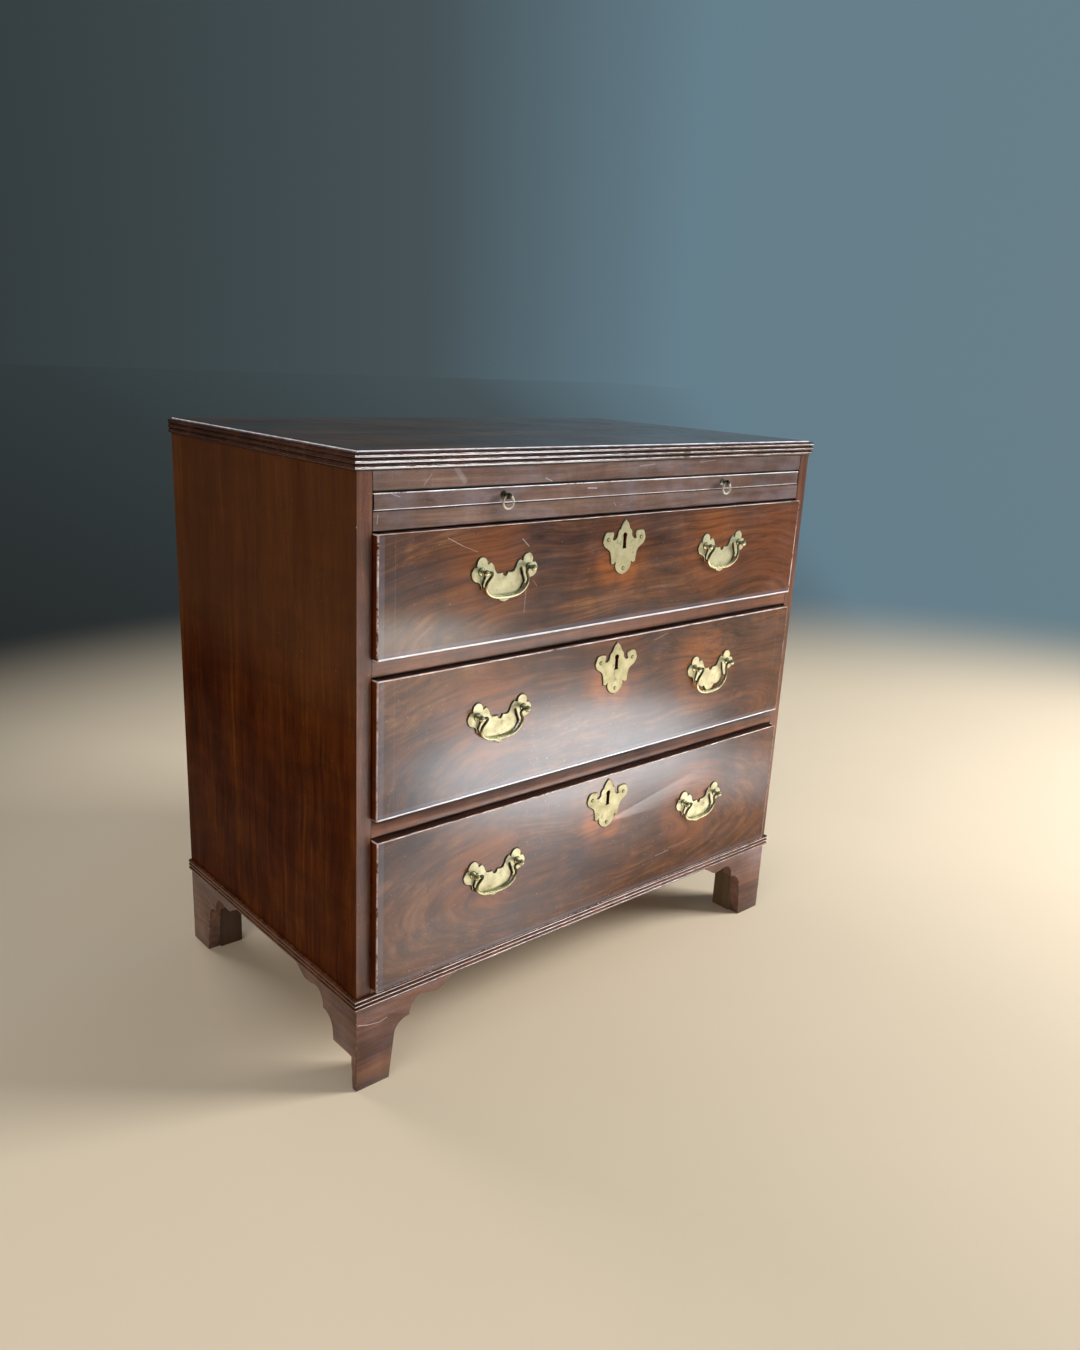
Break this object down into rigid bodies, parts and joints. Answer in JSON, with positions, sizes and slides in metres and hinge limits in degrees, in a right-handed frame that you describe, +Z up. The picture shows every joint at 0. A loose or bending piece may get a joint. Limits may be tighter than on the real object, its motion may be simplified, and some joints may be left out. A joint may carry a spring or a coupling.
{
  "type": "bachelors chest",
  "caption": "Mahogany bachelors chest: reeded top, pull-out brushing slide, long drawers with swan-neck handles, bracket feet.",
  "frame": {"origin": "bottom centre of the object's box, on the floor", "axes": "+Z up, the drawers open towards -Y, +X to the right as seen from the front"},
  "size_m": [0.824, 0.5008, 0.8],
  "materials": {
    "mahogany": "semi-gloss polish, worn at the edges",
    "oak": "bare, aged",
    "pine": "bare, aged",
    "brass": "aged satin",
    "iron": "dark, bare"
  },
  "bodies": {
    "case": {"top_board": "mahogany", "top_moulding": "mahogany", "side_left": "mahogany", "side_right": "mahogany", "top_rail": "mahogany", "slide_rail": "mahogany", "divider_upper": "mahogany", "divider_lower": "mahogany", "slide_bearers": "oak", "dust_frame_upper": "oak", "dust_frame_lower": "oak", "case_bottom": "pine", "back_panel": "pine", "base_moulding": "mahogany", "foot_front_left": "mahogany", "foot_front_right": "mahogany", "foot_back_left": "mahogany", "foot_back_right": "mahogany"},
    "slide": {"slide_edge": "mahogany", "slide_panel": "oak", "slide_pull_left": "brass", "slide_pull_right": "brass"},
    "slide_ring_left": {"ring_left": "brass"},
    "slide_ring_right": {"ring_right": "brass"},
    "drawer_1": {"drawer_1_front": "mahogany", "drawer_1_side_left": "oak", "drawer_1_side_right": "oak", "drawer_1_back": "oak", "drawer_1_bottom": "oak", "drawer_1_lock": "iron", "drawer_1_escutcheon": "brass", "drawer_1_handle_left": "brass", "drawer_1_handle_right": "brass"},
    "drawer_1_lock_bolt": {"drawer_1_bolt": "iron"},
    "drawer_1_bail_left_swing": {"drawer_1_bail_left": "brass"},
    "drawer_1_bail_right_swing": {"drawer_1_bail_right": "brass"},
    "drawer_2": {"drawer_2_front": "mahogany", "drawer_2_side_left": "oak", "drawer_2_side_right": "oak", "drawer_2_back": "oak", "drawer_2_bottom": "oak", "drawer_2_lock": "iron", "drawer_2_escutcheon": "brass", "drawer_2_handle_left": "brass", "drawer_2_handle_right": "brass"},
    "drawer_2_lock_bolt": {"drawer_2_bolt": "iron"},
    "drawer_2_bail_left_swing": {"drawer_2_bail_left": "brass"},
    "drawer_2_bail_right_swing": {"drawer_2_bail_right": "brass"},
    "drawer_3": {"drawer_3_front": "mahogany", "drawer_3_side_left": "oak", "drawer_3_side_right": "oak", "drawer_3_back": "oak", "drawer_3_bottom": "oak", "drawer_3_lock": "iron", "drawer_3_escutcheon": "brass", "drawer_3_handle_left": "brass", "drawer_3_handle_right": "brass"},
    "drawer_3_lock_bolt": {"drawer_3_bolt": "iron"},
    "drawer_3_bail_left_swing": {"drawer_3_bail_left": "brass"},
    "drawer_3_bail_right_swing": {"drawer_3_bail_right": "brass"}
  },
  "joints": [
    {"name": "slide_out", "type": "slide", "parent": "case", "child": "slide", "axis": [0, -1, 0], "range_m": [0, 0.26]},
    {"name": "slide_ring_left_swing", "type": "hinge", "parent": "slide", "child": "slide_ring_left", "pos_m": [-0.203, -0.23305, 0.7447], "axis": [-1, 0, 0], "range_deg": [-20, 100]},
    {"name": "slide_ring_right_swing", "type": "hinge", "parent": "slide", "child": "slide_ring_right", "pos_m": [0.203, -0.23305, 0.7447], "axis": [-1, 0, 0], "range_deg": [-20, 100]},
    {"name": "drawer_1_out", "type": "slide", "parent": "case", "child": "drawer_1", "axis": [0, -1, 0], "range_m": [0, 0.33]},
    {"name": "drawer_1_bolt_throw", "type": "slide", "parent": "drawer_1", "child": "drawer_1_lock_bolt", "axis": [0, 0, 1], "range_m": [0, 0.008]},
    {"name": "drawer_1_bail_left_lift", "type": "hinge", "parent": "drawer_1", "child": "drawer_1_bail_left_swing", "pos_m": [-0.204, -0.24325, 0.6566], "axis": [-1, 0, 0], "range_deg": [0, 95]},
    {"name": "drawer_1_bail_right_lift", "type": "hinge", "parent": "drawer_1", "child": "drawer_1_bail_right_swing", "pos_m": [0.204, -0.24325, 0.6566], "axis": [-1, 0, 0], "range_deg": [0, 95]},
    {"name": "drawer_2_out", "type": "slide", "parent": "case", "child": "drawer_2", "axis": [0, -1, 0], "range_m": [0, 0.33]},
    {"name": "drawer_2_bolt_throw", "type": "slide", "parent": "drawer_2", "child": "drawer_2_lock_bolt", "axis": [0, 0, 1], "range_m": [0, 0.008]},
    {"name": "drawer_2_bail_left_lift", "type": "hinge", "parent": "drawer_2", "child": "drawer_2_bail_left_swing", "pos_m": [-0.204, -0.24425, 0.47465], "axis": [-1, 0, 0], "range_deg": [0, 95]},
    {"name": "drawer_2_bail_right_lift", "type": "hinge", "parent": "drawer_2", "child": "drawer_2_bail_right_swing", "pos_m": [0.204, -0.24425, 0.47465], "axis": [-1, 0, 0], "range_deg": [0, 95]},
    {"name": "drawer_3_out", "type": "slide", "parent": "case", "child": "drawer_3", "axis": [0, -1, 0], "range_m": [0, 0.33]},
    {"name": "drawer_3_bolt_throw", "type": "slide", "parent": "drawer_3", "child": "drawer_3_lock_bolt", "axis": [0, 0, 1], "range_m": [0, 0.008]},
    {"name": "drawer_3_bail_left_lift", "type": "hinge", "parent": "drawer_3", "child": "drawer_3_bail_left_swing", "pos_m": [-0.204, -0.24625, 0.2599], "axis": [-1, 0, 0], "range_deg": [0, 95]},
    {"name": "drawer_3_bail_right_lift", "type": "hinge", "parent": "drawer_3", "child": "drawer_3_bail_right_swing", "pos_m": [0.204, -0.24625, 0.2599], "axis": [-1, 0, 0], "range_deg": [0, 95]}
  ]
}
